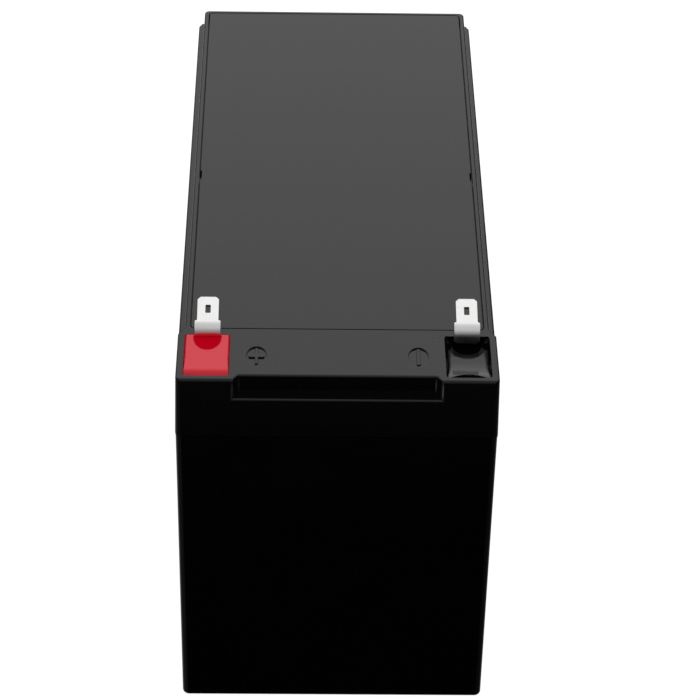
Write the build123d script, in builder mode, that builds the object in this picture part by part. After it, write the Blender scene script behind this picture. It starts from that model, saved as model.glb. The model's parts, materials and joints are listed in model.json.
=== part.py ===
from build123d import *
import os
from math import cos, radians, sin, tan

# A sealed lead acid battery with six cells, in millimetres. The origin is the middle of the
# underside. X runs across the case, Y along it with the terminals at the -Y end, and +Z is up.
os.makedirs("parts", exist_ok=True)

# Case
case_length = 151.0
case_width = 69.5
case_height = 94.0
corner_radius = 1.5
wall = 2.0
floor_thickness = 2.0
partition = 1.5
base_edge_radius = 1.0

# Lid, and the tongue of the container that seats in its rim
lid_height = 15.5
lid_draft = 1.4
lid_overhang = 0.12
lid_edge_radius = 0.45
tongue_width = 0.9
tongue_height = 2.5
tongue_clearance = 0.1

# Step along both sides of the lid, behind the terminal block
block_before_cover = 2.6
ledge_width = 1.8
ledge_depth = 4.1
ledge_lead = 2.8
tier_corner = 1.2

# Notch in the front edge of the lid
notch_to_pocket = 0.55
notch_height = 5.2
notch_depth = 2.0
notch_flare = 36.0
notch_corner = 0.6

# Cover plate over the valves, and the tray that it closes
cover_side = 3.15
cover_back = 1.75
cover_thickness = 1.6
cover_corner = 1.0
cover_gap = 0.3
cover_recess = 0.1
cover_shelf = 0.9
tray_depth = 10.2
tray_floor = 1.8
tray_rib = 1.5
tray_rib_gap = 0.6
gas_notch_length = 3.4
gas_notch_depth = 0.35
gas_notch_place = 76.8

# Valves, one over each cell
chimney_diameter = 7.4
chimney_bore = 4.4
cap_diameter = 10.6
cap_roof = 1.6
cap_stand = 0.8
cap_clearance = 0.05
cap_pip_diameter = 3.0
cap_pip_height = 0.4
cover_pad = 0.5
cap_edge_chamfer = 0.5

# Terminal pockets
terminal_inset = 6.8
pocket_width = 9.8
pocket_length = 14.3
pocket_front = 1.65
pocket_back_wall = 2.3
pocket_depth = 8.0
pocket_corner = 0.7
pocket_floor = 2.0
potting_rim = 0.1
potting_dish = {"positive": 0.6, "negative": 1.7}
potting_lean = 66.0

# Terminal tabs, stamped from sheet and bent
tab_width = 5.6
tab_thickness = 0.8
tab_back_clearance = 0.1
tab_rise = 0.45
bend_radius = 2.5
bend_angle = 75.0
shoulder_lead = 0.3
blade_width = 4.65
blade_length = 6.5
blade_tip_chamfer = 0.8
blade_edge_chamfer = 0.2
blade_hole_width = 1.1
blade_hole_length = 2.15
blade_hole_corner = 0.2
blade_hole_from_tip = 3.45
foot_bend = 1.2
foot_overhang = 2.6
shoulder_radius = 0.4

# Terminal posts and their sealing rings
post_diameter = 5.0
post_flange_diameter = 7.0
post_flange = 1.5
post_clearance = 0.15
post_shoulder = 1.2
rivet_diameter = 2.6
rivet_height = 1.3
seal_section = 1.6
boss_wall = 2.0
boss_above_seam = 1.8

# Polarity marks, sunk in the terminal block
mark_to_terminal = 10.65
mark_from_front = 8.65
mark_width = 4.35
mark_length = 6.4
mark_depth = 0.35
plus_bar_across = 3.4
plus_bar_across_width = 0.85
mark_bar_length = 5.4
plus_bar_width = 0.65
minus_bar_width = 0.8
mark_bar_corner = 0.2

# Plate groups: pasted plates on a cast strap, with glass mat pressed between them
negative_plate_count = 5
positive_plate_count = 4
negative_thickness = 2.0
positive_thickness = 2.6
plate_stand = 1.0
mat_overlap = 1.5
mat_end_gap = 0.4
lug_width = 8.0
lug_inset = 8.0
lug_height = 5.0
lug_thickness = 1.4
strap_width = 11.0
strap_thickness = 4.0
strap_headroom = 12.2
strap_pad_margin = 0.5
strap_side_gap = 0.8
upright_width = 11.0
upright_height = 9.5
upright_thickness = 2.5
link_diameter = 4.5

# Heights and places that follow from the sizes above
seam_z = case_height - lid_height
front_y = -case_length / 2
container_width = case_width - 2 * lid_overhang
container_length = case_length - 2 * lid_overhang
cells_width = container_width - 2 * wall
cells_length = container_length - 2 * wall
cell_width = (cells_width - partition) / 2
cell_length = (cells_length - 2 * partition) / 3
cell_step_x = cell_width + partition
cell_step_y = cell_length + partition
cover_front = pocket_front + pocket_length + pocket_back_wall
cover_width = case_width - 2 * cover_side
cover_length = case_length - cover_front - cover_back
cover_y = front_y + cover_front + cover_length / 2
cover_top = case_height - cover_recess
shelf_z = cover_top - cover_thickness
tray_z = case_height - tray_depth
tray_width = cover_width - 2 * cover_shelf
tray_length = cover_length - 2 * cover_shelf
cap_top = shelf_z - cover_pad - cap_pip_height
chimney_top = cap_top - cap_roof
cap_skirt = chimney_top - tray_z - cap_stand
pocket_y = front_y + pocket_front + pocket_length / 2
pocket_z = case_height - pocket_depth
terminal_x = case_width / 2 - terminal_inset
notch_half = terminal_x - pocket_width / 2 - notch_to_pocket
mark_x = terminal_x - mark_to_terminal
strap_z = seam_z - strap_headroom
plate_z = floor_thickness + plate_stand
plate_height = strap_z - lug_height - plate_z
mat_length = cell_length - 2 * mat_end_gap
plate_length = mat_length - 2 * mat_overlap
link_z = strap_z + (strap_thickness + upright_height) / 2
terminal_places = {"positive": -terminal_x, "negative": terminal_x}

# The cells in electrical order: from the positive terminal back along one side, and forward along
# the other. Each has its column, its row, and the Y side on which its negative strap lies. A valve
# stands in the middle of the stretch of tray over its cell.
cells = [(-1, -1, 1), (-1, 0, 1), (-1, 1, 1), (1, 1, -1), (1, 0, -1), (1, -1, -1)]
cell_places = [(column * cell_step_x / 2, row * cell_step_y) for column, row, _ in cells]
row_edges = [
    front_y + cover_front + cover_shelf,
    -cell_step_y / 2,
    cell_step_y / 2,
    front_y + cover_front + cover_length - cover_shelf,
]
valve_places = [
    (column * cell_step_x / 2, (row_edges[row + 1] + row_edges[row + 2]) / 2) for column, row, _ in cells
]
first_cell, last_cell, turn_cell = 1, len(cells), len(cells) // 2


def finish(piece, name):
    """Names a finished piece and writes it to its own file."""
    piece.part.label = name
    export_step(piece.part, f"parts/{name}.step")


# Container: an open box with six cells, and a tongue round its rim
with BuildPart() as container:
    with BuildSketch(Plane.XY.offset(seam_z)):
        RectangleRounded(container_width, container_length, corner_radius)
    extrude(amount=-seam_z)
    fillet(container.faces().sort_by(Axis.Z)[0].edges(), base_edge_radius)
    with BuildSketch(Plane.XY.offset(seam_z)):
        RectangleRounded(cells_width + 2 * tongue_width, cells_length + 2 * tongue_width, corner_radius)
        Rectangle(cells_width, cells_length, mode=Mode.SUBTRACT)
    extrude(amount=tongue_height)
    with BuildSketch(Plane.XY.offset(floor_thickness)):
        with Locations(*cell_places):
            Rectangle(cell_width, cell_length)
    extrude(amount=case_height, mode=Mode.SUBTRACT)
    # Ways through the partitions for the welds between neighbouring cells
    along_y = [cell_step_y / 2, -cell_step_y / 2]
    with BuildSketch(*[Plane.XZ.offset(-y) for y in along_y]):
        with GridLocations(cell_step_x, 0, 2, 1):
            with Locations((0, link_z)):
                Circle(link_diameter / 2)
    extrude(amount=partition, both=True, mode=Mode.SUBTRACT)
    turn_y = cell_step_y + plate_length / 2 - lug_inset
    with BuildSketch(Plane.YZ):
        with Locations((turn_y, link_z)):
            Circle(link_diameter / 2)
    extrude(amount=partition, both=True, mode=Mode.SUBTRACT)
finish(container, "container")

# Lid: a drafted cap with a step along both sides and a full-height terminal block in front
with BuildPart() as lid:
    with BuildSketch(Plane.XY.offset(seam_z)):
        RectangleRounded(case_width, case_length, corner_radius)
    extrude(amount=lid_height, taper=lid_draft)
    tier_x = case_width / 2 - ledge_width
    ledge_start = front_y + cover_front - block_before_cover
    with BuildSketch(Plane.XY.offset(case_height - ledge_depth)):
        with BuildLine():
            Polyline(
                (case_width, ledge_start),
                (case_width / 2, ledge_start),
                (tier_x, ledge_start + ledge_lead),
                (tier_x, case_length),
                (case_width, case_length),
                close=True,
            )
        make_face()
        mirror(about=Plane.YZ)
    extrude(amount=ledge_depth * 2, mode=Mode.SUBTRACT)
    step_corners = lid.edges().filter_by_position(Axis.Y, case_length / 2 - corner_radius, case_length / 2)
    tier_foot, tier_head = case_height - 0.9 * ledge_depth, case_height - 0.1 * ledge_depth
    fillet(step_corners.filter_by_position(Axis.Z, tier_foot, tier_head), tier_corner)
    fillet(lid.faces().sort_by(Axis.Z)[-1].edges(), lid_edge_radius)
    # Notch in the front edge, with a level floor and ends that open outwards
    notch_spread = notch_depth * tan(radians(notch_flare))
    with BuildSketch(Plane.XY.offset(case_height - notch_height)) as notch:
        with BuildLine():
            Polyline(
                (-notch_half - notch_spread, front_y - notch_depth),
                (-notch_half + notch_spread, front_y + notch_depth),
                (notch_half - notch_spread, front_y + notch_depth),
                (notch_half + notch_spread, front_y - notch_depth),
                close=True,
            )
        make_face()
        fillet(notch.vertices().group_by(Axis.Y)[-1], notch_corner)
    extrude(amount=notch_height * 2, mode=Mode.SUBTRACT)
    # Seat of the cover plate, and the tray below it with the gas space
    with BuildSketch(Plane.XY.offset(shelf_z)):
        with Locations((0, cover_y)):
            seat_width, seat_length = cover_width + 2 * cover_gap, cover_length + 2 * cover_gap
            RectangleRounded(seat_width, seat_length, cover_corner + cover_gap)
    extrude(amount=cover_thickness * 2, mode=Mode.SUBTRACT)
    with BuildSketch(Plane.XY.offset(tray_z)):
        with Locations((0, cover_y)):
            RectangleRounded(tray_width, tray_length, cover_corner)
    extrude(amount=tray_depth, mode=Mode.SUBTRACT)
    # Ribs in the tray, over the partitions, lower than the plate so that gas can pass
    with BuildSketch(Plane.XY.offset(tray_z)):
        with Locations((0, cover_y)):
            Rectangle(tray_rib, tray_length)
        with GridLocations(0, cell_step_y, 1, 2):
            Rectangle(tray_width, tray_rib)
    extrude(amount=shelf_z - tray_z - tray_rib_gap)
    # Hollow underside, one bay over each cell
    with BuildSketch(Plane.XY.offset(seam_z)):
        with Locations(*cell_places):
            Rectangle(cell_width, cell_length)
    extrude(amount=tray_z - tray_floor - seam_z, mode=Mode.SUBTRACT)
    # Hollow under the terminal block, between the two pockets
    bay_front = front_y + notch_depth + wall
    bay_back = front_y + cover_front - wall
    bay_end_x = terminal_x - pocket_width / 2 - wall
    bay_width = bay_end_x - partition / 2
    with BuildSketch(Plane.XY.offset(seam_z)):
        for side in (-1, 1):
            with Locations((side * (partition + bay_width) / 2, (bay_front + bay_back) / 2)):
                Rectangle(bay_width, bay_back - bay_front)
    extrude(amount=lid_height - pocket_floor - mark_depth, mode=Mode.SUBTRACT)
    # Valve chimneys
    with BuildSketch(Plane.XY.offset(tray_z)):
        with Locations(*valve_places):
            Circle(chimney_diameter / 2)
    extrude(amount=chimney_top - tray_z)
    with BuildSketch(Plane.XY.offset(seam_z)):
        with Locations(*valve_places):
            Circle(chimney_bore / 2)
    extrude(amount=lid_height, mode=Mode.SUBTRACT)
    # Terminal pockets, each with a bush below its floor for the post
    pocket_places = [(x, pocket_y) for x in terminal_places.values()]
    bore_diameter = post_diameter + 2 * post_clearance
    seat_diameter = post_diameter + 2 * seal_section
    with BuildSketch(Plane.XY.offset(pocket_z)):
        with Locations(*pocket_places):
            Circle(seat_diameter / 2 + boss_wall)
    extrude(amount=seam_z + boss_above_seam - pocket_z)
    with BuildSketch(Plane.XY.offset(pocket_z)):
        with Locations(*pocket_places):
            RectangleRounded(pocket_width, pocket_length, pocket_corner)
    extrude(amount=pocket_depth, mode=Mode.SUBTRACT)
    with BuildSketch(Plane.XY.offset(pocket_z)):
        with Locations(*pocket_places):
            Circle(seat_diameter / 2)
    extrude(amount=-seal_section, mode=Mode.SUBTRACT)
    with BuildSketch(Plane.XY.offset(pocket_z)):
        with Locations(*pocket_places):
            Circle(bore_diameter / 2)
    extrude(amount=-lid_height, mode=Mode.SUBTRACT)
    # Rebate that takes the container's tongue
    rebate = tongue_width + tongue_clearance
    with BuildSketch(Plane.XY.offset(seam_z)):
        RectangleRounded(cells_width + 2 * rebate, cells_length + 2 * rebate, corner_radius)
        Rectangle(cells_width, cells_length, mode=Mode.SUBTRACT)
    extrude(amount=tongue_height + tongue_clearance, mode=Mode.SUBTRACT)
    # Polarity marks: sunk ovals with the bars left standing
    mark_y = front_y + mark_from_front
    with BuildSketch(Plane.XY.offset(case_height)):
        with Locations((-mark_x, mark_y), (mark_x, mark_y)):
            Ellipse(mark_width / 2, mark_length / 2)
        with Locations((-mark_x, mark_y)):
            RectangleRounded(plus_bar_across, plus_bar_across_width, mark_bar_corner, mode=Mode.SUBTRACT)
            RectangleRounded(plus_bar_width, mark_bar_length, mark_bar_corner, mode=Mode.SUBTRACT)
        with Locations((mark_x, mark_y)):
            RectangleRounded(minus_bar_width, mark_bar_length, mark_bar_corner, mode=Mode.SUBTRACT)
    extrude(amount=-mark_depth, mode=Mode.SUBTRACT)
finish(lid, "lid")

# Cover plate: welded over the tray, with pads that hold the caps and a gas notch on each side
with BuildPart() as vent_cover:
    with BuildSketch(Plane.XY.offset(shelf_z)):
        with Locations((0, cover_y)):
            RectangleRounded(cover_width, cover_length, cover_corner)
        with Locations((0, front_y + gas_notch_place)):
            with GridLocations(cover_width, 0, 2, 1):
                Rectangle(2 * gas_notch_depth, gas_notch_length, mode=Mode.SUBTRACT)
    extrude(amount=cover_thickness)
    with BuildSketch(Plane.XY.offset(shelf_z)):
        with Locations(*valve_places):
            Circle(cap_diameter / 2)
    extrude(amount=-cover_pad)
finish(vent_cover, "vent_cover")

# Valve caps: rubber cups over the chimneys, each with a pip under the cover plate
for number, (cap_x, cap_y) in enumerate(valve_places, 1):
    with BuildPart() as valve_cap:
        with BuildSketch(Plane.XY.offset(cap_top)):
            with Locations((cap_x, cap_y)):
                Circle(cap_diameter / 2)
        extrude(amount=-(cap_roof + cap_skirt))
        chamfer(valve_cap.edges().group_by(Axis.Z)[-1], cap_edge_chamfer)
        with BuildSketch(Plane.XY.offset(chimney_top)):
            with Locations((cap_x, cap_y)):
                Circle(chimney_diameter / 2 + cap_clearance)
        extrude(amount=-cap_skirt, mode=Mode.SUBTRACT)
        with BuildSketch(Plane.XY.offset(cap_top)):
            with Locations((cap_x, cap_y)):
                Circle(cap_pip_diameter / 2)
        extrude(amount=cap_pip_height)
    finish(valve_cap, f"valve_cap_{number}")

# Terminals: post, sealing ring, bent tab, and the potting that closes the pocket
foot_z = pocket_z + post_shoulder + tab_thickness / 2
stem_y = front_y + pocket_front + pocket_length - tab_back_clearance - tab_thickness / 2
stem_top = case_height + tab_rise
blade_lean = 90 - bend_angle
middle_radius = bend_radius - tab_thickness / 2
along_blade = (0, cos(radians(blade_lean)), sin(radians(blade_lean)))
blade_start_y = stem_y + middle_radius * (1 - cos(radians(bend_angle))) + shoulder_lead * along_blade[1]
blade_start_z = stem_top + middle_radius * sin(radians(bend_angle)) + shoulder_lead * along_blade[2]
off_blade = (0, -sin(radians(blade_lean)), cos(radians(blade_lean)))

for polarity, terminal in terminal_places.items():
    with BuildPart() as post:
        with BuildSketch(Plane.XY.offset(strap_z + strap_thickness)):
            with Locations((terminal, pocket_y)):
                Circle(post_flange_diameter / 2)
        extrude(amount=post_flange)
        with BuildSketch(Plane.XY.offset(strap_z + strap_thickness)):
            with Locations((terminal, pocket_y)):
                Circle(post_diameter / 2)
        extrude(amount=pocket_z + post_shoulder - strap_z - strap_thickness)
        with BuildSketch(Plane.XY.offset(pocket_z + post_shoulder)):
            with Locations((terminal, pocket_y)):
                Circle(rivet_diameter / 2)
        extrude(amount=rivet_height)
    finish(post, f"{polarity}_post")

    with BuildPart() as seal:
        with BuildSketch(Plane.XY.offset(pocket_z)):
            with Locations((terminal, pocket_y)):
                Circle(seat_diameter / 2)
                Circle(post_diameter / 2, mode=Mode.SUBTRACT)
        extrude(amount=-seal_section)
    finish(seal, f"{polarity}_post_seal")

    with BuildPart() as tab:
        with BuildSketch(Plane.YZ.offset(terminal)):
            with BuildLine():
                foot = Line((pocket_y - foot_overhang, foot_z), (stem_y - foot_bend, foot_z))
                lower_bend = JernArc(foot @ 1, foot % 1, foot_bend, 90)
                stem = Line(lower_bend @ 1, (stem_y, stem_top))
                upper_bend = JernArc(stem @ 1, stem % 1, middle_radius, -bend_angle)
                Line(upper_bend @ 1, (blade_start_y, blade_start_z))
            trace(line_width=tab_thickness)
        extrude(amount=tab_width / 2, both=True)
        bend_end = tab.faces().sort_by(Axis((0, 0, 0), along_blade))[-1]
        fillet(bend_end.edges().filter_by(Axis((0, 0, 0), off_blade)), shoulder_radius)
        blade_plane = Plane((terminal, blade_start_y, blade_start_z), x_dir=along_blade, z_dir=off_blade)
        with BuildSketch(blade_plane) as blade:
            with Locations((blade_length / 2, 0)):
                Rectangle(blade_length, blade_width)
            chamfer(blade.vertices().sort_by(Axis.X)[-2:], blade_tip_chamfer)
            with Locations((blade_length - blade_hole_from_tip, 0)):
                RectangleRounded(blade_hole_length, blade_hole_width, blade_hole_corner, mode=Mode.SUBTRACT)
        extrude(amount=tab_thickness / 2, both=True)
        with BuildSketch(Plane.XY.offset(pocket_z + post_shoulder)):
            with Locations((terminal, pocket_y)):
                Circle(rivet_diameter / 2)
        extrude(amount=tab_thickness, mode=Mode.SUBTRACT)
        chamfer(tab.edges().filter_by(Axis.X).sort_by(Axis.Y)[-2:], blade_edge_chamfer)
    finish(tab, f"{polarity}_tab")

    with BuildPart() as potting:
        with BuildSketch(Plane.XY.offset(pocket_z)):
            with Locations((terminal, pocket_y)):
                RectangleRounded(pocket_width, pocket_length, pocket_corner)
        extrude(amount=pocket_depth - potting_rim)
        with BuildSketch(Plane.XY.offset(case_height - potting_rim)):
            with Locations((terminal, pocket_y)):
                RectangleRounded(pocket_width, pocket_length, pocket_corner)
        extrude(amount=-potting_dish[polarity], taper=potting_lean, mode=Mode.SUBTRACT)
        add(post.part, mode=Mode.SUBTRACT)
        add(tab.part, mode=Mode.SUBTRACT)
    finish(potting, f"{polarity}_potting")

# Plate groups and glass mat of each cell
mat_thickness = (
    cell_width - negative_plate_count * negative_thickness - positive_plate_count * positive_thickness
) / (negative_plate_count + positive_plate_count - 1)
plate_step = negative_thickness + positive_thickness + 2 * mat_thickness
groups = {
    "negative": (negative_plate_count, negative_thickness, 1),
    "positive": (positive_plate_count, positive_thickness, -1),
}

for number, ((column, row, heading), (cell_x, cell_y)) in enumerate(zip(cells, cell_places), 1):
    for polarity, (count, thickness, way) in groups.items():
        toward = heading * way
        strap_y = cell_y + toward * (plate_length / 2 - lug_inset)
        plate_places = [cell_x + (i - (count - 1) / 2) * plate_step for i in range(count)]
        ends_in_post = (polarity == "positive" and number == first_cell) or (
            polarity == "negative" and number == last_cell
        )
        turns = (polarity == "negative" and number == turn_cell) or (
            polarity == "positive" and number == turn_cell + 1
        )
        with BuildPart() as group:
            with BuildSketch(*[Plane.YZ.offset(x - thickness / 2) for x in plate_places]):
                with Locations((cell_y, plate_z + plate_height / 2)):
                    Rectangle(plate_length, plate_height)
            extrude(amount=thickness)
            with BuildSketch(*[Plane.YZ.offset(x - lug_thickness / 2) for x in plate_places]):
                with Locations((strap_y, plate_z + plate_height + lug_height / 2)):
                    Rectangle(lug_width, lug_height)
            extrude(amount=lug_thickness)
            with BuildSketch(Plane.XY.offset(strap_z)):
                with Locations((cell_x, strap_y)):
                    Rectangle(cell_width - 2 * strap_side_gap, strap_width)
            extrude(amount=strap_thickness)
            if ends_in_post:
                # Round pad that carries the terminal post
                with BuildSketch(Plane.XY.offset(strap_z)):
                    with Locations((terminal_places[polarity], pocket_y)):
                        Circle(post_flange_diameter / 2 + strap_pad_margin)
                extrude(amount=strap_thickness)
            else:
                # Arm out to the partition, with the upright that is welded through it
                if turns:
                    wall_x = cell_x - column * cell_width / 2
                    arm_centre = ((cell_x + wall_x) / 2, strap_y)
                    arm_size = (cell_width / 2, upright_width)
                    upright_centre = (wall_x + column * upright_thickness / 2, strap_y)
                    upright_size = (upright_thickness, upright_width)
                else:
                    wall_y = cell_y + toward * cell_length / 2
                    arm_centre = (cell_x, (strap_y + wall_y) / 2)
                    arm_size = (upright_width, abs(wall_y - strap_y))
                    upright_centre = (cell_x, wall_y - toward * upright_thickness / 2)
                    upright_size = (upright_width, upright_thickness)
                with BuildSketch(Plane.XY.offset(strap_z)):
                    with Locations(arm_centre):
                        Rectangle(*arm_size)
                extrude(amount=strap_thickness)
                with BuildSketch(Plane.XY.offset(strap_z)):
                    with Locations(upright_centre):
                        Rectangle(*upright_size)
                extrude(amount=upright_height)
        finish(group, f"{polarity}_plates_{number}")

    with BuildPart() as mat:
        off_plate = (positive_thickness + mat_thickness) / 2
        mat_places = [
            cell_x + (i - (positive_plate_count - 1) / 2) * plate_step + side * off_plate
            for i in range(positive_plate_count)
            for side in (-1, 1)
        ]
        with BuildSketch(*[Plane.YZ.offset(x - mat_thickness / 2) for x in mat_places]):
            with Locations((cell_y, floor_thickness + (plate_stand + plate_height + mat_overlap) / 2)):
                Rectangle(mat_length, plate_stand + plate_height + mat_overlap)
        extrude(amount=mat_thickness)
    finish(mat, f"separators_{number}")

# Welds through the partitions, from each cell to the next
for number in range(1, last_cell):
    (here_x, here_y), (next_x, next_y) = cell_places[number - 1], cell_places[number]
    with BuildPart() as link:
        if here_x == next_x:
            with BuildSketch(Plane.XZ.offset(-(here_y + next_y) / 2)):
                with Locations((here_x, link_z)):
                    Circle(link_diameter / 2)
        else:
            with BuildSketch(Plane.YZ):
                with Locations((turn_y, link_z)):
                    Circle(link_diameter / 2)
        extrude(amount=partition / 2, both=True)
    finish(link, f"cell_link_{number}")
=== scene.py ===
import json
import math

import bmesh
import bpy
from mathutils import Matrix, Vector


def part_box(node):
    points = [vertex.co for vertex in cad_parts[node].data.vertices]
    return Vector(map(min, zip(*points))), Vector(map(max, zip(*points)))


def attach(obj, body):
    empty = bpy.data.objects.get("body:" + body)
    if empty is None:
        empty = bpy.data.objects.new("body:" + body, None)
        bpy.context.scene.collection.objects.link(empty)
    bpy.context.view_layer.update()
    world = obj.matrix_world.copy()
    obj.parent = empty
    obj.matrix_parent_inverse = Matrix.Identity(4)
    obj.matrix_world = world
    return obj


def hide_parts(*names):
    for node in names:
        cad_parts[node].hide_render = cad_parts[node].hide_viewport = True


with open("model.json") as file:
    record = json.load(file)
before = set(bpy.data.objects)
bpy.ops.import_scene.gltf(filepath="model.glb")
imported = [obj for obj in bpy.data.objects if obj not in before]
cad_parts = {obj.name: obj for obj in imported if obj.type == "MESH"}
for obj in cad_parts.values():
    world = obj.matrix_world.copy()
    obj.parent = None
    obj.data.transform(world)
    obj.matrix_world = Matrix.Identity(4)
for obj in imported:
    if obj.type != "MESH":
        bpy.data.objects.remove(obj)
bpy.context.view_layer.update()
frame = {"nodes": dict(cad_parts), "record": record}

MM = 0.001

# Camera, as fitted to the corners of the case in the photograph
PHOTO_SIZE = 700
FOCAL_PIXELS = 2687.1
CAMERA_PLACE = Vector((-7.96, -517.37, 449.36)) * MM
CAMERA_PITCH = math.radians(38.121)
CAMERA_HEADING = math.radians(1.346)
CAMERA_ROLL = math.radians(1.308)

# All places and sizes below are in millimetres, unless a line says otherwise

# Slack when points are found by their place
SLACK = 0.02

# The case and its lid, from the frame
CASE_LOW, CASE_HIGH = (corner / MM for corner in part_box("lid"))
FRONT, BACK, SEAM, TOP = CASE_LOW.y, CASE_HIGH.y, CASE_LOW.z, CASE_HIGH.z
LID_DRAFT = math.tan(math.radians(1.4)) * (TOP - SEAM)
LEDGE = TOP - 4.1
TIER_X = CASE_HIGH.x - 1.8

# Roundings on the lid. The solid has one round its top, which is widened inward and downward by the
# two factors along the front and the back
MOULD_RADIUS = 0.45
FRONT_WIDENED = (1.15, 1.5)
BACK_WIDENED = (1.4, 1.0)
BLOCK_CORNER, TIER_CORNER = 1.5 - LID_DRAFT, 1.2
SEAM_RADIUS = 0.35
LEDGE_RADIUS = 0.5
MARK_RADIUS = 0.11

# The notch in the lid's front edge, with the rounding of its brow, which is widened in the middle
NOTCH_FLOOR = TOP - 5.2
NOTCH_BACK = FRONT + 2.0
NOTCH_HALF = 22.1
LIP_RADIUS = 0.4
BROW_RADIUS = 0.42
BROW_WIDENED = 1.9
BROW_HALF, BROW_EASE = 20.0, 1.5

# The polarity marks: their place and half their size
MARK_X, MARK_Y = 17.3, FRONT + 8.65
MARK_HALF_X, MARK_HALF_Y, MARK_DEPTH = 2.4, 3.3, 0.36

# The cover plate: how far its edges are moved back and out, over what width, and their rounding
COVER_LOW, COVER_HIGH = (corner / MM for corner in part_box("vent_cover"))
COVER_EDGE = 1.1
COVER_BACK_MOVE, COVER_FRONT_MOVE = 0.28, 0.08
COVER_FOOT_MOVE, COVER_TOP_MOVE = 0.26, 0.04
COVER_FOOT = COVER_HIGH.z - 0.9
COVER_RADIUS = 0.07

# The tabs, and their feet in the resin
TAB_RADIUS = 0.1
FOOT_X, FOOT_Y = 27.95, -60.9
STEM_TO_WALL = 0.9

# The resin in the terminal pockets. Its bank at the side walls starts at a share in front and is
# full after a run; its height leads its width, and it is narrower at the back wall
POCKET_CORNER = 0.7
BANK_START, BANK_RUN = 0.15, 7
BANK_LEAD, BANK_AT_BACK = 1.4, 0.5
SKIN_WIDTH = 0.25
BEAD_WIDTH, BEAD_SHARE = 0.3, 1.4
SKIN_TOP = TOP + 0.3

# The painted dark reflection of the tab and painted shade in the resin round a foot, an oval where
# the sheen is taken away and the colour darkened: the share of it inside its fading edge, its half
# height, and how much of the red, green and blue is left in it
PAINTED_REFLECTION_EDGE, PAINTED_REFLECTION_HEIGHT = 0.9, 40
PAINTED_SHADE_SHARES = (0.78, 0.2, 0.5)

# Edges sharper than this many degrees stay crisp
CRISP = 32

# Small dents in the lid and in the cover, each a place, a size and a depth
LID_NICKS = [((20.6, -61.9, 94.0), (0.22, 0.3, 0.5), 0.12)]
COVER_NICKS = [((-33.2, 72.0, 94.0), (0.4, 1.3, 0.5), 0.05)]

# Painted highlights on the edges at the ends of the notch, each a place, a size and a brightness
PAINTED_EDGE_HIGHLIGHTS = [
    ((22.35, -75.1, 91.2), (0.22, 0.5, 2.6), 0.05),
    ((20.95, -73.3, 91.4), (0.22, 0.5, 2.4), 0.03),
    ((-22.35, -75.1, 91.2), (0.2, 0.5, 2.6), 0.012),
    ((-20.95, -73.3, 91.4), (0.2, 0.5, 2.4), 0.008),
]

# Light in the upright plane along the case: degrees back from straight up, and level
STUDIO_ARC = [
    (-180, 0.0), (-131, 0.0), (-122, 0.05), (-110, 0.17), (-99, 0.23), (-90, 0.24), (-80, 0.28),
    (-70, 0.36), (-60, 0.47), (-50, 0.53), (-20, 0.55), (-9, 0.60), (2, 0.66), (13, 0.80),
    (22, 1.0), (52, 1.10), (90, 1.2), (128, 1.1), (180, 0.3),
]
BRIGHTEST = 1.2

# Light from the sides: its level at the left, at the right and above, and the share left in front
SIDE_LEFT, SIDE_RIGHT, SIDE_UPPER = 0.30, 0.14, 0.55
SIDE_IN_FRONT = 0.25

# The lamp overhead and the floor, in metres and watts
LAMP_PLACE = (0, 0.1, 1.3)
LAMP_WIDTH = 1.2
LAMP_POWER = 14.0
FLOOR_HALF = 4.0


def aim_camera():
    """The camera at the photograph's viewing angle."""
    data = bpy.data.cameras.new("photo_camera")
    data.lens = FOCAL_PIXELS / PHOTO_SIZE * data.sensor_width
    data.clip_start = 0.01
    camera = bpy.data.objects.new("photo_camera", data)
    heading = Matrix.Rotation(-CAMERA_HEADING, 4, "Z")
    pitch = Matrix.Rotation(math.pi / 2 - CAMERA_PITCH, 4, "X")
    roll = Matrix.Rotation(CAMERA_ROLL, 4, "Z")
    camera.matrix_world = Matrix.Translation(CAMERA_PLACE) @ heading @ pitch @ roll
    bpy.context.scene.collection.objects.link(camera)
    bpy.context.scene.camera = camera


class Nodes:
    """A node tree under construction, with short calls for the nodes it uses."""

    def __init__(self, tree):
        self.tree = tree

    def add(self, kind, **settings):
        node = self.tree.nodes.new(kind)
        for key, value in settings.items():
            setattr(node, key, value)
        return node

    def link(self, source, target):
        self.tree.links.new(source, target)

    def reckon(self, operation, *values):
        """One step of arithmetic on the outputs given."""
        node = self.add("ShaderNodeMath", operation=operation)
        for value, socket in zip(values, node.inputs):
            self.link(value, socket)
        return node.outputs["Value"]

    def ramp(self, value, low, high, low_out, high_out, kind="LINEAR"):
        """Maps value from low..high to low_out..high_out, held at the ends."""
        node = self.add("ShaderNodeMapRange", interpolation_type=kind)
        sockets = ("From Min", "From Max", "To Min", "To Max")
        for socket, number in zip(sockets, (low, high, low_out, high_out)):
            node.inputs[socket].default_value = number
        self.link(value, node.inputs["Value"])
        return node.outputs["Result"]

    def mix(self, share, first, second):
        """Blends two colours by share. Each is three numbers or the output of a node."""
        node = self.add("ShaderNodeMix", data_type="RGBA")
        self.link(share, node.inputs["Factor"])
        for socket, colour in (("A", first), ("B", second)):
            if isinstance(colour, tuple):
                node.inputs[socket].default_value = (*colour, 1)
            else:
                self.link(colour, node.inputs[socket])
        return node.outputs["Result"]


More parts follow.
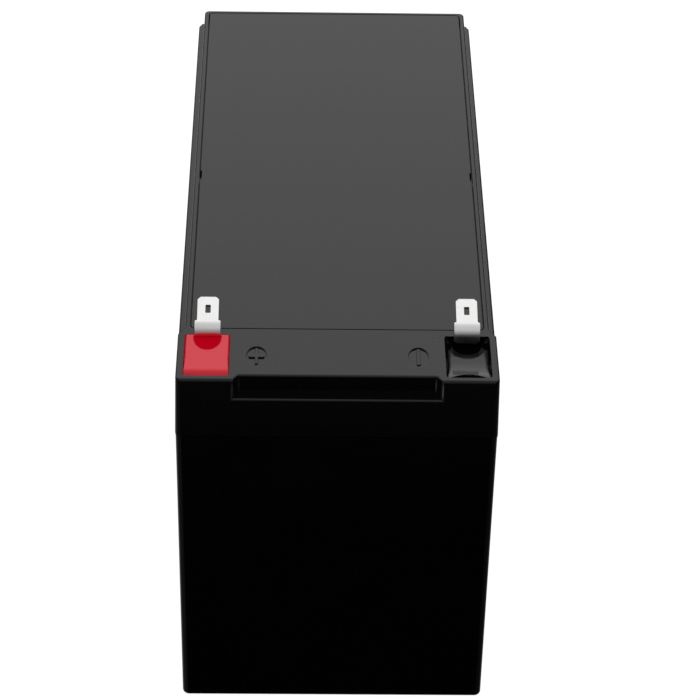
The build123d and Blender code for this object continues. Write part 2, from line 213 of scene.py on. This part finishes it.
class Finish(Nodes):
    """A material under construction. Its grain sizes and bump depths are in metres."""

    def __init__(self, name):
        self.material = bpy.data.materials.new(name)
        self.material.use_nodes = True
        super().__init__(self.material.node_tree)
        self.shader = self.tree.nodes["Principled BSDF"]
        self.coordinates = self.add("ShaderNodeTexCoord").outputs["Object"]

    def set(self, **values):
        """Sets constants on the shader's own sockets."""
        for key, value in values.items():
            self.shader.inputs[key.replace("_", " ")].default_value = value

    def noise(self, size, detail):
        """Noise whose blobs are about size across."""
        noise = self.add("ShaderNodeTexNoise")
        noise.inputs["Scale"].default_value = 1 / size
        noise.inputs["Detail"].default_value = detail
        self.link(self.coordinates, noise.inputs["Vector"])
        return noise.outputs["Fac"]

    def specks(self, size, share):
        """1 on scattered specks of about size, and 0 elsewhere."""
        cells = self.add("ShaderNodeTexVoronoi")
        cells.inputs["Scale"].default_value = 1 / size
        self.link(self.coordinates, cells.inputs["Vector"])
        return self.ramp(cells.outputs["Distance"], share, share * 0.5, 0.0, 1.0)

    def spot(self, place, size, edge=0.0):
        """1 near a place and 0 at size away from it on x, y and z.

        edge is the share of the size over which it stays 1."""
        mapping = self.add("ShaderNodeMapping", vector_type="POINT")
        mapping.inputs["Location"].default_value = [-p / s for p, s in zip(place, size)]
        mapping.inputs["Scale"].default_value = [1 / (s * MM) for s in size]
        self.link(self.coordinates, mapping.inputs["Vector"])
        reach = self.add("ShaderNodeVectorMath", operation="LENGTH")
        self.link(mapping.outputs["Vector"], reach.inputs[0])
        return self.ramp(reach.outputs["Value"], 1.0, edge, 0.0, 1.0)

    def colour(self, output):
        self.link(output, self.shader.inputs["Base Color"])

    def rough(self, pattern, low, high):
        """Roughness from low to high over the middle of a noise pattern."""
        self.link(self.ramp(pattern, 0.3, 0.7, low, high), self.shader.inputs["Roughness"])

    def bump(self, *layers):
        """Stacks bump layers, each a height and its depth."""
        normal = None
        for height, depth in layers:
            node = self.add("ShaderNodeBump")
            node.inputs["Distance"].default_value = depth
            node.inputs["Strength"].default_value = 1.0
            self.link(height, node.inputs["Height"])
            if normal:
                self.link(normal, node.inputs["Normal"])
            normal = node.outputs["Normal"]
        self.link(normal, self.shader.inputs["Normal"])


def moulded_black(name, low_rough, high_rough, grain, nicks, painted_highlights=()):
    """Glossy black plastic from a mould: faintly wavy, finely grained and a little dusty, plus
    painted highlights.
    """
    finish = Finish(name)
    dust = finish.specks(0.004, 0.02)
    dust_and_highlights = finish.mix(dust, (0.0006, 0.0006, 0.0007), (0.006, 0.006, 0.006))
    # Painted highlights: pale spots on edges, standing in for light that they catch
    for place, size, pale in painted_highlights:
        dust_and_highlights = finish.mix(finish.spot(place, size, edge=0.5), dust_and_highlights, (pale, pale, pale))
    finish.colour(dust_and_highlights)
    finish.rough(finish.noise(0.018, 4), low_rough, high_rough)
    waves = (finish.noise(0.03, 1), 0.00003)
    fine = (finish.noise(0.0005, 2), grain)
    dents = [(finish.spot(place, size), -depth * MM) for place, size, depth in nicks]
    finish.bump(waves, fine, *dents)
    finish.set(IOR=1.5)
    return finish.material


def tinned_sheet(name):
    """Tin-plated sheet, bright and softly mottled."""
    finish = Finish(name)
    finish.set(Metallic=1.0)
    finish.colour(finish.mix(finish.noise(0.0016, 3), (0.90, 0.90, 0.895), (0.97, 0.97, 0.965)))
    finish.rough(finish.noise(0.0009, 3), 0.27, 0.35)
    finish.bump((finish.noise(0.0014, 1), 0.000008))
    return finish.material


def cast_resin(name, deep, pale, roughness, foot, *painted_reflections):
    """Resin poured into a pocket: a smooth skin with slow ripples, with painted reflection and
    shade round the foot.

    Each painted reflection is an oval: its half width, its reach to the front, and how much sheen
    is left."""
    finish = Finish(name)
    finish.rough(finish.noise(0.002, 2), roughness * 0.7, roughness * 1.3)
    finish.bump((finish.noise(0.005, 1), 0.00004))
    finish.set(IOR=1.52)
    # Painted reflection: in each oval the sheen is taken away, standing in for the tab's dark
    # mirror image
    sheen_left = None
    for half_width, reach, left in painted_reflections:
        oval = finish.spot(foot, (half_width, reach, PAINTED_REFLECTION_HEIGHT), PAINTED_REFLECTION_EDGE)
        in_painted_reflection = finish.ramp(oval, 0.0, 1.0, 1.0, left)
        sheen_left = finish.reckon("MINIMUM", sheen_left, in_painted_reflection) if sheen_left else in_painted_reflection
    finish.link(sheen_left, finish.shader.inputs["Specular Tint"])
    finish.link(finish.ramp(sheen_left, 0.0, 1.0, 0.0, 0.5), finish.shader.inputs["Specular IOR Level"])
    # Painted shade: the resin's colour is darkened inside the ovals
    painted_shade_colour = tuple(part * left for part, left in zip(deep, PAINTED_SHADE_SHARES))
    finish.colour(finish.mix(sheen_left, painted_shade_colour, finish.mix(finish.noise(0.004, 3), deep, pale)))
    return finish.material


def plain_inner(name, first, second, roughness, grain_size, grain_depth, metallic=0.0):
    """A mottled matt finish for what lies inside the case."""
    finish = Finish(name)
    finish.set(Metallic=metallic)
    finish.colour(finish.mix(finish.noise(grain_size * 4, 3), first, second))
    finish.rough(finish.noise(grain_size, 2), roughness * 0.85, roughness)
    finish.bump((finish.noise(grain_size, 3), grain_depth))
    return finish.material


def floor_paint(name):
    """White paint that glows a little, so that the floor is as pale as the photograph's ground."""
    finish = Finish(name)
    finish.colour(finish.mix(finish.noise(0.05, 2), (0.10, 0.10, 0.10), (0.12, 0.12, 0.12)))
    finish.set(Roughness=0.9, Specular_IOR_Level=0.0)
    finish.set(Emission_Color=(1, 1, 1, 1), Emission_Strength=0.96)
    return finish.material


def make_finishes():
    """One material for each slot of the record."""
    made = {
        "case_plastic": (moulded_black, 0.08, 0.14, 0.0000006, LID_NICKS, PAINTED_EDGE_HIGHLIGHTS),
        "cover_plastic": (moulded_black, 0.12, 0.18, 0.000001, COVER_NICKS),
        # Each resin ends with its ovals of painted dark reflection and painted shade round the
        # tab's foot
        "red_potting": (
            cast_resin, (0.425, 0.003, 0.013), (0.465, 0.005, 0.018), 0.05,
            (-FOOT_X, FOOT_Y, 94), (3.2, 4.45, 0.0),
        ),
        "black_potting": (
            cast_resin, (0.0008, 0.0008, 0.0008), (0.0016, 0.0016, 0.0016), 0.045,
            (FOOT_X, FOOT_Y, 92), (3.5, 3.2, 0.0), (4.3, 4.6, 0.2),
        ),
        "tinned_sheet": (tinned_sheet,),
        "lead": (plain_inner, (0.30, 0.31, 0.33), (0.38, 0.39, 0.41), 0.45, 0.001, 0.00002, 1.0),
        "negative_paste": (
            plain_inner, (0.20, 0.21, 0.22), (0.30, 0.31, 0.32), 0.8, 0.0006, 0.00003,
        ),
        "positive_paste": (
            plain_inner, (0.06, 0.03, 0.02), (0.10, 0.05, 0.035), 0.85, 0.0006, 0.00003,
        ),
        "glass_mat": (plain_inner, (0.72, 0.72, 0.70), (0.82, 0.82, 0.80), 0.9, 0.0004, 0.00004),
        "valve_rubber": (
            plain_inner, (0.010, 0.010, 0.010), (0.02, 0.02, 0.02), 0.6, 0.0005, 0.00001,
        ),
        "seal_rubber": (
            plain_inner, (0.008, 0.008, 0.008), (0.015, 0.015, 0.015), 0.55, 0.0005, 0.00001,
        ),
    }
    return {name: make(name, *values) for name, (make, *values) in made.items()}


def whole_faces(node):
    """A copy of a CAD node's mesh, with its loose triangles joined into whole faces."""
    work = bmesh.new()
    work.from_mesh(frame["nodes"][node].data)
    bmesh.ops.remove_doubles(work, verts=work.verts[:], dist=0.001 * MM)
    flat = math.radians(0.5)
    bmesh.ops.dissolve_limit(work, angle_limit=flat, verts=work.verts[:], edges=work.edges[:])
    return work


def is_sharp(edge, degrees):
    return edge.is_manifold and edge.calc_face_angle() > math.radians(degrees)


def round_edges(work, radius, where, segments=3, sharp=30):
    """Rounds the edges sharper than so many degrees whose middle passes the test where(x, y, z)."""
    edges = []
    for edge in work.edges:
        middle = (edge.verts[0].co + edge.verts[1].co) / 2 / MM
        if is_sharp(edge, sharp) and where(*middle):
            edges.append(edge)
    bmesh.ops.bevel(
        work, geom=edges, offset=radius * MM, offset_type="OFFSET", segments=segments, profile=0.5,
        affect="EDGES", clamp_overlap=False, material=-1,
    )


def widen_round(work, side, half_width, corner, in_factor, down_factor):
    """Widens the rounding of the lid's top edge at its front (side -1) or back (side 1).

    The rounding is stretched inward and downward by the two factors along the straight run, and
    eases to its moulded size round the corners of the outline, whose radius is corner."""
    centre_y = side * (BACK - LID_DRAFT - corner)
    for vert in work.verts:
        x, y, z = vert.co / MM
        down = TOP - z
        past = side * (y - centre_y)
        if down > MOULD_RADIUS + SLACK or past < 0 or abs(x) > half_width + 0.05:
            continue
        over = max(abs(x) - (half_width - corner), 0.0)
        reach = math.hypot(over, past)
        if corner - reach > MOULD_RADIUS + SLACK:
            continue
        ease = math.cos(math.atan2(over, max(past, 1e-6))) ** 2
        new_reach = corner - (corner - reach) * (1 + (in_factor - 1) * ease)
        if reach > 1e-6:
            over, past = over * new_reach / reach, past * new_reach / reach
        new_x = math.copysign(half_width - corner + over, x) if over > 0 else x
        new_down = down * (1 + (down_factor - 1) * ease)
        vert.co = Vector((new_x, centre_y + side * past, TOP - new_down)) * MM


def widen_brow(work):
    """Widens the rounding over the notch, and eases to its first size at the ends."""
    for vert in work.verts:
        x, y, z = vert.co / MM
        inward, down = y - NOTCH_BACK, TOP - z
        on_brow = -SLACK < inward < BROW_RADIUS + SLACK and down < BROW_RADIUS + SLACK
        if on_brow and abs(x) < BROW_HALF:
            ease = min((BROW_HALF - abs(x)) / BROW_EASE, 1.0)
            grown = 1 + (BROW_WIDENED - 1) * ease
            vert.co = Vector((x, NOTCH_BACK + inward * grown, TOP - down * grown)) * MM


def to_piece(work, name, slot, node):
    """Makes a finished bmesh into the piece that stands for a node, its unrounded edges crisp."""
    for edge in work.edges:
        edge.smooth = not is_sharp(edge, CRISP)
    mesh = bpy.data.meshes.new(name)
    work.to_mesh(mesh)
    work.free()
    for face in mesh.polygons:
        face.use_smooth = True
    piece = bpy.data.objects.new(name, mesh)
    bpy.context.scene.collection.objects.link(piece)
    piece.data.materials.append(finishes[slot])
    even = piece.modifiers.new("even", "WEIGHTED_NORMAL")
    even.keep_sharp = True
    even.weight = 80
    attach(piece, "root")
    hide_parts(node)


def make_container():
    """The tall case."""
    to_piece(whole_faces("container"), "case_body", "case_plastic", "container")


def make_lid():
    """The lid, with each visible edge rounded as a mould leaves it."""

    def on_rim(x, y, z):
        return z < SEAM + 0.01 and (abs(x) > 34.7 or abs(y) > 75.4)

    def on_brow(x, y, z):
        return y < NOTCH_BACK + 0.1 and z > TOP - 0.01 and abs(x) < NOTCH_HALF

    def on_lip_or_ends(x, y, z):
        return y < FRONT + 0.7 and NOTCH_FLOOR - 0.01 < z < TOP - 1.5 and abs(x) < NOTCH_HALF + 0.9

    def on_ledge(x, y, z):
        return abs(x) > TIER_X + 1.0 and abs(z - LEDGE) < SLACK

    def on_marks(x, y, z):
        beside = abs(abs(x) - MARK_X) < MARK_HALF_X and abs(y - MARK_Y) < MARK_HALF_Y
        return beside and z > TOP - MARK_DEPTH

    work = whole_faces("lid")
    widen_round(work, -1, CASE_HIGH.x - LID_DRAFT, BLOCK_CORNER, *FRONT_WIDENED)
    widen_round(work, 1, TIER_X, TIER_CORNER, *BACK_WIDENED)
    round_edges(work, SEAM_RADIUS, on_rim)
    round_edges(work, BROW_RADIUS, on_brow, segments=5)
    widen_brow(work)
    round_edges(work, LIP_RADIUS, on_lip_or_ends, segments=4)
    round_edges(work, LEDGE_RADIUS, on_ledge, segments=4)
    round_edges(work, MARK_RADIUS, on_marks, segments=2)
    to_piece(work, "stepped_lid", "case_plastic", "lid")


def make_cover():
    """The cover plate, pushed back against the rim, its long sides leaning out to the rim below."""
    work = whole_faces("vent_cover")
    for vert in work.verts:
        x, y, z = vert.co / MM
        if y > COVER_HIGH.y - COVER_EDGE:
            vert.co.y += COVER_BACK_MOVE * MM
        elif y < COVER_LOW.y + COVER_EDGE:
            vert.co.y += COVER_FRONT_MOVE * MM
        if abs(x) > COVER_HIGH.x - COVER_EDGE:
            move = COVER_FOOT_MOVE if z < COVER_FOOT else COVER_TOP_MOVE
            vert.co.x += math.copysign(move * MM, x)
    top_edge = COVER_HIGH.z - 0.01
    round_edges(work, COVER_RADIUS, lambda x, y, z: z > top_edge and y < COVER_HIGH.y - 0.5)
    to_piece(work, "cover_plate", "cover_plastic", "vent_cover")


def make_tab(polarity):
    """A push-on tab of tinned sheet, with the slight rounding that stamping leaves."""
    work = whole_faces(f"{polarity}_tab")
    round_edges(work, TAB_RADIUS, lambda x, y, z: z > TOP - 3, segments=2, sharp=50)
    to_piece(work, f"{polarity}_push_on_tab", "tinned_sheet", f"{polarity}_tab")


def hollow(across, distance, crest=2.5, flat=7.6, rise=0.6):
    """Height of resin that banks up to a crest in front and drops beyond it.

    across is 0 in the middle and 1 at the side walls, and distance is from the front wall. The bank
    starts at flat and is rise high at crest."""
    swell = 1 - across**2
    line = crest * swell

    def bank(place):
        if place > crest:
            return rise * max((flat - place) / (flat - crest), 0.0) ** 2
        past = crest - place
        return rise + 2 * rise / (flat - crest) * (past - past**2 / (2 * crest))

    if distance > line:
        return bank(distance)
    return bank(line) - min((line - distance) * 2.6, swell)


def pillow(across, distance, drop=2.0, reach=2.3):
    """Height of a full edge that rolls down to the front wall."""
    return -drop * max(1 - distance / reach, 0.0) ** 2


def round_corner(x, y, half):
    """Moves a point of the pocket's rectangle inward, so that the corners come out round."""
    radius = POCKET_CORNER
    past_x, past_y = (abs(x) - half.x + radius) / radius, (abs(y) - half.y + radius) / radius
    if past_x > 0 and past_y > 0:
        round_x = past_x * math.sqrt(1 - past_y**2 / 2)
        round_y = past_y * math.sqrt(1 - past_x**2 / 2)
        x = math.copysign(half.x - radius + round_x * radius, x)
        y = math.copysign(half.y - radius + round_y * radius, y)
    return x, y


def make_potting(polarity, slot, level, front, walls, climb):
    """Resin that fills a terminal pocket.

    front gives its height over level from the place across and the distance from the front wall.
    walls gives its rise at the other walls, the distance where that ends, and its curve. climb is
    how far the skin is drawn up the tab."""
    low, high = (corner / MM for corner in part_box(f"{polarity}_potting"))
    tab_low, tab_high = (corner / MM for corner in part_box(f"{polarity}_tab"))
    middle, half = (low + high) / 2, (high - low) / 2
    rise, reach, curve = walls
    work = bmesh.new()
    bmesh.ops.create_grid(work, x_segments=72, y_segments=100, size=1.0)
    for vert in work.verts:
        x, y = round_corner(vert.co.x * half.x, vert.co.y * half.y, half)
        height = level + front(abs(x) / half.x, y + half.y)
        taper = min((y + half.y) / BANK_RUN + BANK_START, 1.0)
        banks = ((half.x - abs(x), reach * taper), (half.y - y, reach * BANK_AT_BACK))
        for to_wall, wide in banks:
            height += rise * min(taper * BANK_LEAD, 1.0) * max(1 - to_wall / wide, 0.0) ** curve
        # Skin drawn up the tab, most of all at its two edges
        x, y = x + middle.x, y + middle.y
        off_x = abs(x - (tab_low.x + tab_high.x) / 2) - (tab_high.x - tab_low.x) / 2
        off_y = high.y - STEM_TO_WALL - y
        height += climb * math.exp(-math.hypot(max(off_x, 0), max(off_y, 0)) / SKIN_WIDTH)
        height += climb * BEAD_SHARE * math.exp(-(off_x**2 + off_y**2) / BEAD_WIDTH**2)
        vert.co = Vector((x, y, min(height, SKIN_TOP))) * MM
    rim = [edge for edge in work.edges if edge.is_boundary]
    skirt = bmesh.ops.extrude_edge_only(work, edges=rim)["geom"]
    for vert in (item for item in skirt if isinstance(item, bmesh.types.BMVert)):
        vert.co.z = low.z * MM
    bmesh.ops.contextual_create(work, geom=[edge for edge in work.edges if edge.is_boundary])
    bmesh.ops.recalc_face_normals(work, faces=work.faces[:])
    to_piece(work, f"{polarity}_pocket_resin", slot, f"{polarity}_potting")


def finish_nodes():
    """Gives each CAD node that stays the finish of its own slot."""
    slots = {entry["node"]: entry["material_slot"] for entry in frame["record"]["subparts"]}
    for name, node in frame["nodes"].items():
        for place in node.material_slots:
            place.material = finishes[slots[name]]


def make_stage():
    """A white floor that reflections look through, and a lamp above that they don't show."""
    work = bmesh.new()
    bmesh.ops.create_grid(work, x_segments=1, y_segments=1, size=FLOOR_HALF)
    mesh = bpy.data.meshes.new("floor")
    work.to_mesh(mesh)
    work.free()
    floor = bpy.data.objects.new("floor", mesh)
    floor.data.materials.append(floor_paint("floor_paint"))
    lamp = bpy.data.lights.new("overhead", "AREA")
    lamp.shape = "RECTANGLE"
    lamp.size, lamp.size_y, lamp.energy = LAMP_WIDTH, LAMP_WIDTH, LAMP_POWER
    overhead = bpy.data.objects.new("overhead", lamp)
    overhead.location = LAMP_PLACE
    for thing in (floor, overhead):
        bpy.context.scene.collection.objects.link(thing)
        thing.visible_glossy = False


def make_world():
    """Soft studio light: a bright sweep above and behind the case, a dim front and dimmer sides."""
    world = bpy.data.worlds.new("soft_studio")
    world.use_nodes = True
    sky = Nodes(world.node_tree)
    where = sky.add("ShaderNodeSeparateXYZ")
    sky.link(sky.add("ShaderNodeTexCoord").outputs["Generated"], where.inputs["Vector"])
    x, y, z = (where.outputs[axis] for axis in "XYZ")

    # Levels are shares of the brightest, because a colour ramp ends at 1
    arc = sky.add("ShaderNodeValToRGB")
    sky.link(sky.ramp(sky.reckon("ARCTAN2", y, z), -math.pi, math.pi, 0.0, 1.0), arc.inputs["Fac"])
    points = arc.color_ramp.elements
    for angle, level in STUDIO_ARC[1:-1]:
        points.new(0.5 + angle / 360)
    for point, (angle, level) in zip(points, STUDIO_ARC):
        point.color = (level / BRIGHTEST, level / BRIGHTEST, level / BRIGHTEST, 1)

    across = sky.ramp(x, -0.5, 0.5, SIDE_LEFT / BRIGHTEST, SIDE_RIGHT / BRIGHTEST, "SMOOTHSTEP")
    along = sky.ramp(y, -0.1, 0.4, SIDE_IN_FRONT, 1.0, "SMOOTHSTEP")
    above = sky.ramp(z, 0.2, 0.6, 0.0, SIDE_UPPER / BRIGHTEST, "SMOOTHSTEP")
    side = sky.reckon("ADD", sky.reckon("MULTIPLY", across, along), above)
    sideways = sky.ramp(sky.reckon("ABSOLUTE", x), 0.22, 0.40, 0.0, 1.0, "SMOOTHSTEP")

    background = world.node_tree.nodes["Background"]
    sky.link(sky.mix(sideways, arc.outputs["Color"], side), background.inputs["Color"])
    background.inputs["Strength"].default_value = BRIGHTEST
    bpy.context.scene.world = world
    bpy.context.scene.view_settings.view_transform = "Standard"


aim_camera()
finishes = make_finishes()
finish_nodes()
make_container()
make_lid()
make_cover()
for polarity in ("positive", "negative"):
    make_tab(polarity)
make_potting("positive", "red_potting", TOP + 0.12, pillow, (-0.5, 0.6, 2.0), 0.05)
make_potting("negative", "black_potting", TOP - 1.66, hollow, (1.3, 1.5, 2.0), 0.5)
make_stage()
make_world()
